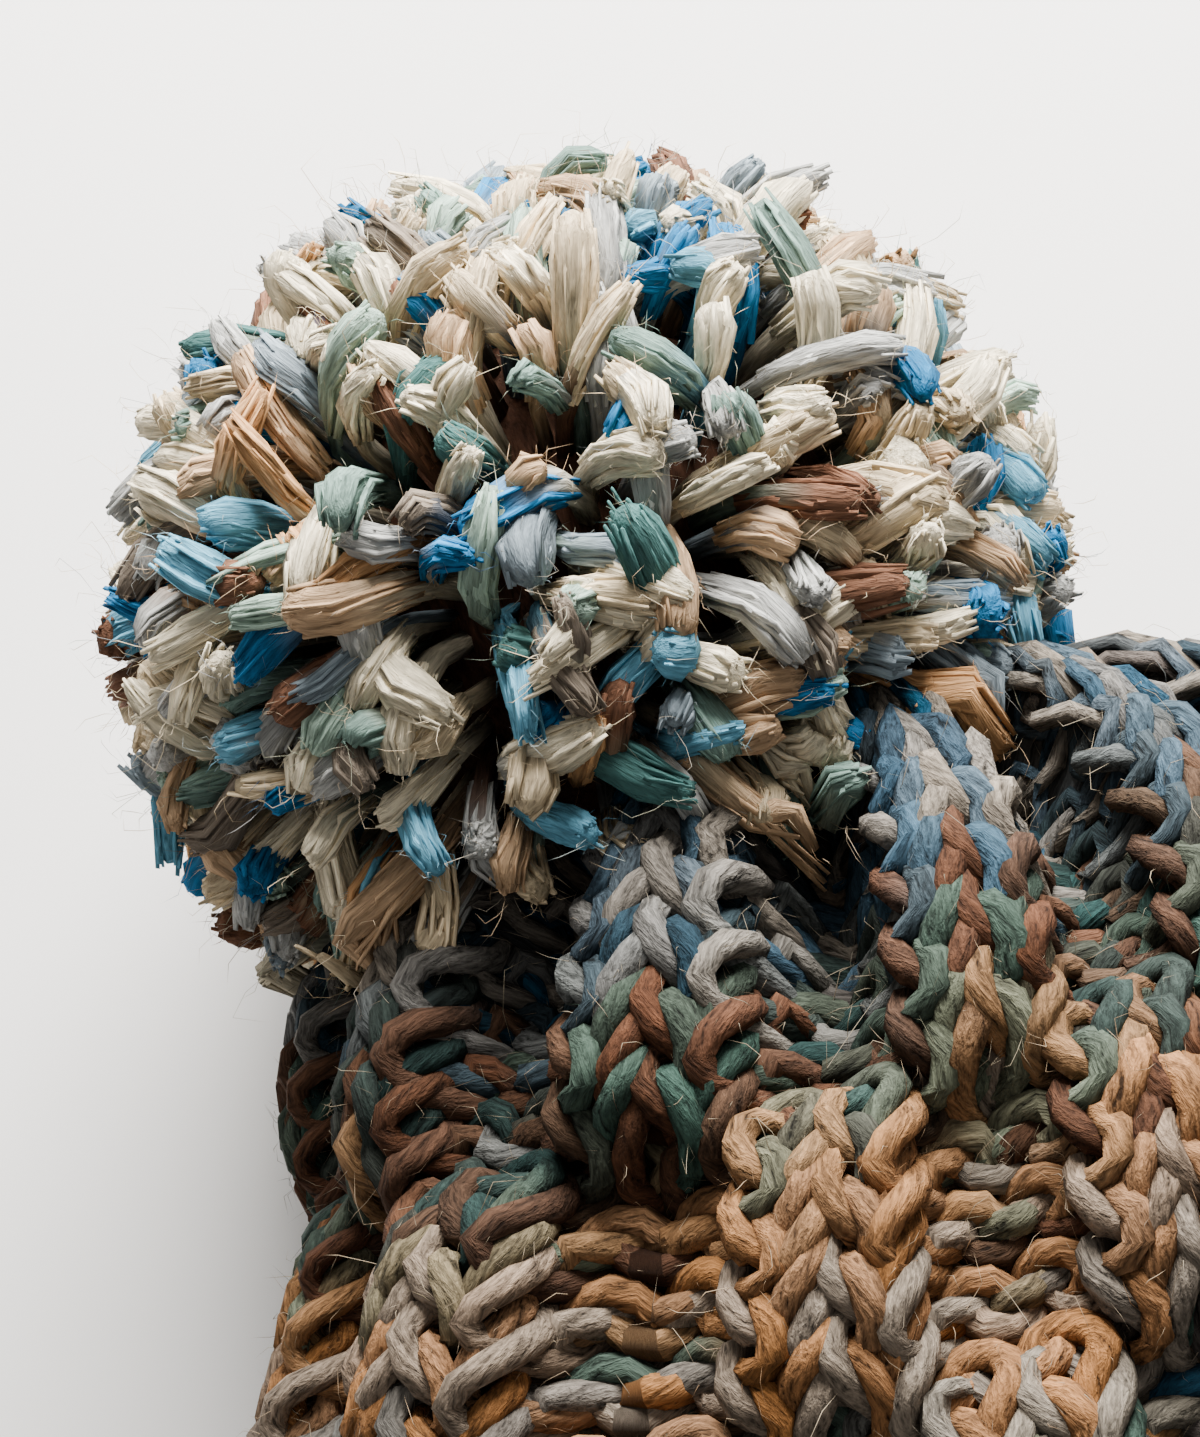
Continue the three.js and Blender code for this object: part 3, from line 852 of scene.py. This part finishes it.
def add_lock_hairs(bundle, rng, paths, radii, colours):
    """Fine hairs that lie along the locks, lift off them and fray their ends."""
    low = paths[:, -1, 2] < LOW_LOCK
    lock = np.repeat(np.arange(len(paths)), np.where(low, LOW_LOCK_HAIRS, LOCK_HAIRS))
    count = len(lock)
    tangents, first, second = carried_frames(paths)
    s = 1 - 0.65 * rng.random(count) ** 1.3
    angle = rng.uniform(0, 2 * np.pi, count)[:, None]
    out = unit(read_along(first, lock, s) * np.cos(angle) + read_along(second, lock, s) * np.sin(angle))
    roots = read_along(paths, lock, s) + out * read_along(radii.mean(-1)[..., None], lock, s) * 0.93
    along = read_along(tangents, lock, s) * rng.uniform(-1, 3, (count, 1))
    loose = rng.normal(0, 1.0, (count, 3))
    lift = out * rng.uniform(0.1, 1.1, (count, 1))
    hairs = np.stack([roots, roots + along * 0.5 + lift, roots + along + lift * 0.7 + loose], 1)
    tint = hair_colours_with_painted_highlight(rng, read_along(colours, lock, s))
    add_curls(bundle, hairs, rng.uniform(*LOCK_HAIR_RADIUS, count), tint)


def make_pompom(material, fibre_material):
    """The locks, their strands and their hairs in two halves, and the places for stray hairs."""
    rng = np.random.default_rng(POMPOM_SEED)
    paths = lock_paths(rng)
    radii = lock_radii(rng, len(paths))
    root_colour, end_colour = lock_colours(rng, len(paths))
    # These colours carry painted shade towards the core, and the lock hairs take it on too.
    colours = lock_colours_with_painted_shade(rng, root_colour, end_colour)
    right_half = paths[:, -1, 0] > POMPOM_CENTRE[0]
    for name, own in (("pompom_left", ~right_half), ("pompom_right", right_half)):
        locks = Bundle()
        # The lock's inside takes painted shade, darker than the strands laid over it.
        shade = LOCK_MIDDLE_PAINTED_SHADE * colours[own][:, :, None]
        add_tubes(locks, paths[own], LOCK_MIDDLE * radii[own], shade)
        locks.finish(name, material, "pompom")
        strands = Bundle()
        add_lock_strands(strands, rng, paths[own], radii[own], colours[own], POMPOM_TONE * end_colour[own])
        strands.finish(name + "_strands", material, "pompom")
        fibres = Bundle()
        add_lock_hairs(fibres, rng, paths[own], radii[own], colours[own])
        fibres.finish(name + "_fibres", fibre_material, "pompom")
    fuzz = Fuzz()
    ends = paths[:, -3:]
    outs = unit(ends - POMPOM_CENTRE)
    alongs = unit(np.gradient(paths, axis=1))[:, -3:]
    fuzz.add(ends + outs * LOCK_RADIUS * 0.8, outs, alongs, colours[:, -3:])
    return fuzz


def make_core(material):
    """The inside of the pompom, where the yarn is bound, coloured dark as painted shade between the locks.
    """
    run = np.cos(np.linspace(np.pi - 0.05, 0.05, 14))
    path = np.stack([0 * run, POMPOM_HALF[1] * CORE_SHARE * run, 0 * run], -1)[None] + POMPOM_CENTRE
    radii = np.sqrt(1 - run ** 2)[None, :, None] * np.full(24, POMPOM_HALF[2] * CORE_SHARE)
    bundle = Bundle()
    # Painted shade: dark brown at 0.3 of the palette's brown.
    add_tubes(bundle, path, radii, 0.3 * linear("brown"))
    bundle.finish("pompom_core", material, "pompom")


# Fine fibres of the knitting, and long stray hairs of both.
def make_knit_hairs(fuzz, material):
    """Fine hairs that lie along the plies and lift off them."""
    rng = np.random.default_rng(FUZZ_SEED)
    roots, out, along, colour = fuzz.pick(rng, KNIT_HAIRS)
    along = along * rng.choice([-1, 1], (KNIT_HAIRS, 1))
    run = along * rng.uniform(1, 4.5, (KNIT_HAIRS, 1))
    loose = rng.normal(0, 0.6, (KNIT_HAIRS, 3))
    lift = out * rng.uniform(0.1, 1.2, (KNIT_HAIRS, 1))
    hairs = np.stack([roots - out * 0.1, roots + run * 0.5 + lift, roots + run + lift * 0.7 + loose], 1)
    tint = hair_colours_with_painted_highlight(rng, colour)
    bundle = Bundle()
    add_curls(bundle, hairs, rng.uniform(*KNIT_HAIR_RADIUS, KNIT_HAIRS), tint)
    bundle.finish("knit_fuzz", material, "knit_body")


def make_stray_hairs(name, fuzz, count, length, material, node_name):
    """Long loose hairs that curl off the wool; their count is also their seed."""
    rng = np.random.default_rng(count)
    at, out, along, colour = fuzz.pick(rng, count)
    way = unit(out + along * rng.normal(0, 0.7, (count, 1)) + rng.normal(0, 0.5, (count, 3)))
    curl = unit(np.cross(way, rng.normal(0, 1, (count, 3))))
    bow = unit(np.cross(way, curl))
    long = rng.gamma(4, length / 4, (count, 1))
    bend = rng.uniform(-1, 1, (count, 1))
    paths = np.stack([
        at - way * 0.3,
        at + way * long * 0.3 + curl * long * bend * 0.3,
        at + way * long * 0.6 + curl * long * bend * 0.5 + bow * long * 0.1,
        at + way * long * 0.75 + curl * long * bend * 0.2 + bow * long * 0.35,
    ], 1)
    # Painted highlight: stray hairs are half cream, so that they show as bright lines.
    pale = colour * 0.5 + 0.5 * linear("cream")
    bundle = Bundle()
    add_curls(bundle, paths, rng.uniform(*STRAY_HAIR_RADIUS, count), pale)
    bundle.finish(name, material, node_name)


# The tie: a strand of yarn through the drawn-in hole, knotted inside.
def make_tie(material):
    """The tie's two plies and its knot."""
    bundle = Bundle()
    run = np.linspace(TIE_FROM, TIE_REACH - 1, 24)
    for k in range(2):
        angle = run * 2 * np.pi / TIE_LAY + k * np.pi
        across = TIE_PLY_OFFSET * np.cos(angle)
        height = GATHER_HEIGHT + TIE_PLY_OFFSET * np.sin(angle)
        path = np.stack([across, run, height], -1)[None]
        add_tubes(bundle, path, np.full((1, len(run), 8), TIE_PLY_RADIUS), linear("taupe"))
    turn = np.linspace(0, 4 * np.pi, 60)
    ring = KNOT_RING + KNOT_SWING * np.cos(KNOT_WEAVE * turn)
    across = ring * np.cos(turn)
    along = KNOT_DEPTH * np.sin(KNOT_WEAVE * turn) + KNOT_AT
    height = ring * np.sin(turn) + GATHER_HEIGHT
    knot = np.stack([across, along, height], -1)
    add_tubes(bundle, knot[None], np.full((1, len(turn), 8), KNOT_YARN), linear("grey"))
    bundle.finish("tie_strand", material, "pompom_tie")


# Materials.
def node(tree, kind, settings=None, inputs=None):
    """Adds a node with these settings and inputs; an input is a value, or a (node, output name) to link."""
    made = tree.nodes.new(kind)
    for key, value in (settings or {}).items():
        setattr(made, key, value)
    for key, value in (inputs or {}).items():
        if isinstance(value, tuple) and isinstance(value[0], bpy.types.Node):
            tree.links.new(value[0].outputs[value[1]], made.inputs[key])
        else:
            made.inputs[key].default_value = value
    return made


def empty_material(name):
    """A new material and its node tree with nothing in it."""
    material = bpy.data.materials.new(name)
    material.use_nodes = True
    material.node_tree.nodes.clear()
    return material, material.node_tree


def wisp_height(tree, fibre_mm, wisp_mm, run_mm):
    """Fibres and broader wisps along the yarn, coarser than real ones so that they show."""
    strand = node(tree, "ShaderNodeAttribute", {"attribute_name": "strand"})
    layers = []
    for across_mm, along_mm in ((fibre_mm, run_mm), (wisp_mm, 2 * run_mm)):
        stretched = node(tree, "ShaderNodeVectorMath", {"operation": "MULTIPLY"}, {
            0: (strand, "Vector"), 1: (1 / along_mm, 1 / across_mm, 1 / across_mm),
        })
        layers.append(node(tree, "ShaderNodeTexNoise", {}, {
            "Vector": (stretched, "Vector"),
            "Scale": 1.0,
            "Detail": 3.0,
            "Roughness": 0.6,
            "Distortion": 0.4,
        }))
    return node(tree, "ShaderNodeMath", {"operation": "MULTIPLY_ADD"}, {
        0: (layers[0], "Fac"), 1: 0.5, 2: (layers[1], "Fac"),
    })


def wool(name, fibre_mm, wisp_mm, run_mm, bump_mm, shade):
    """Spun wool: matt, with wisps of lighter and darker fibres."""
    material, tree = empty_material(name)
    tint = node(tree, "ShaderNodeAttribute", {"attribute_name": "tint"})
    height = wisp_height(tree, fibre_mm, wisp_mm, run_mm)
    streak = node(tree, "ShaderNodeMapRange", {}, {
        "Value": (height, "Value"),
        "From Min": 0.5,
        "From Max": 1.0,
        "To Min": 1 - shade,
        "To Max": 1 + shade,
    })
    colour = node(tree, "ShaderNodeVectorMath", {"operation": "SCALE"}, {
        0: (tint, "Color"), "Scale": (streak, "Result"),
    })
    bump = node(tree, "ShaderNodeBump", {}, {
        "Height": (height, "Value"), "Strength": 1.0, "Distance": bump_mm * MM,
    })
    shader = node(tree, "ShaderNodeBsdfPrincipled", {}, {
        "Base Color": (colour, "Vector"),
        "Normal": (bump, "Normal"),
        "Roughness": 0.9,
        "Specular IOR Level": 0.1,
    })
    node(tree, "ShaderNodeOutputMaterial", {}, {"Surface": (shader, "BSDF")})
    return material


def fibre_wool():
    """Single wool fibres: matt, and lit through by what is behind them."""
    material, tree = empty_material("single_wool_fibres")
    tint = node(tree, "ShaderNodeAttribute", {"attribute_name": "tint"})
    matt = node(tree, "ShaderNodeBsdfDiffuse", {}, {"Color": (tint, "Color")})
    through = node(tree, "ShaderNodeBsdfTranslucent", {}, {"Color": (tint, "Color")})
    shader = node(tree, "ShaderNodeMixShader", {}, {"Fac": 0.35, 1: (matt, "BSDF"), 2: (through, "BSDF")})
    node(tree, "ShaderNodeOutputMaterial", {}, {"Surface": (shader, "Shader")})
    return material


def table_top():
    """Painted board: smooth, pale and nearly matt."""
    material = bpy.data.materials.new("pale_table")
    material.use_nodes = True
    shader = material.node_tree.nodes["Principled BSDF"]
    shader.inputs["Base Color"].default_value = (*linear("table"), 1)
    shader.inputs["Roughness"].default_value = 0.6
    return material


# The set: floor, light and camera.
def make_floor():
    """The table, as part of the stage."""
    bpy.ops.object.select_all(action="DESELECT")
    bpy.ops.mesh.primitive_plane_add(size=6)
    floor = bpy.context.object
    floor.name = "table"
    floor.data.materials.append(table_top())


def make_lights():
    """A large soft window and the light of the room."""
    world = bpy.context.scene.world or bpy.data.worlds.new("World")
    bpy.context.scene.world = world
    world.use_nodes = True
    background = world.node_tree.nodes["Background"]
    background.inputs["Color"].default_value = WORLD_COLOUR
    background.inputs["Strength"].default_value = WORLD_STRENGTH
    key = bpy.data.lights.new("window", "AREA")
    key.energy = KEY_WATTS
    key.size = KEY_SIZE
    key.color = KEY_COLOUR
    lamp = bpy.data.objects.new("window", key)
    right, up, _ = camera_axes()
    flat = np.array([1, 1, 0])
    bearing = math.radians(KEY_BEARING)
    rise = math.radians(KEY_RISE)
    level = unit(math.cos(bearing) * unit(right * flat) + math.sin(bearing) * unit(up * flat))
    way = Vector(level * math.cos(rise) + np.array([0, 0, math.sin(rise)]))
    lamp.location = Vector(KEY_AIM) + way * KEY_DISTANCE
    lamp.rotation_euler = way.to_track_quat("Z", "Y").to_euler()
    bpy.context.collection.objects.link(lamp)


def make_camera():
    """The photograph's view."""
    right, up, back = camera_axes()
    target = (CAMERA_TARGET + SHIFT) * MM
    place = target + back * CAMERA_DISTANCE * MM
    data = bpy.data.cameras.new("camera")
    data.sensor_fit = "VERTICAL"
    data.sensor_height = SENSOR_HEIGHT
    data.lens = SENSOR_HEIGHT * PIXELS_PER_MM * CAMERA_DISTANCE / IMAGE_HEIGHT
    data.clip_start = 0.01
    camera = bpy.data.objects.new("camera", data)
    turn = Matrix((right, up, back)).transposed().to_4x4()
    camera.matrix_world = Matrix.Translation(place) @ turn
    bpy.context.collection.objects.link(camera)
    bpy.context.scene.camera = camera


make_camera()
make_floor()
make_lights()
KNIT_WOOL = wool("two_ply_knit_wool", fibre_mm=0.3, wisp_mm=0.8, run_mm=2.5, bump_mm=0.5, shade=0.9)
POMPOM_WOOL = wool("cut_yarn_wool", fibre_mm=0.28, wisp_mm=0.9, run_mm=3.0, bump_mm=0.5, shade=0.6)
FIBRES = fibre_wool()
knit_fuzz = make_body(KNIT_WOOL)
pompom_fuzz = make_pompom(POMPOM_WOOL, FIBRES)
make_backing(KNIT_WOOL)
make_core(POMPOM_WOOL)
make_tie(KNIT_WOOL)
make_knit_hairs(knit_fuzz, FIBRES)
make_stray_hairs("knit_hairs", knit_fuzz, 3200, 5.5, FIBRES, "knit_body")
make_stray_hairs("pompom_hairs", pompom_fuzz, 1000, 4.5, FIBRES, "pompom")
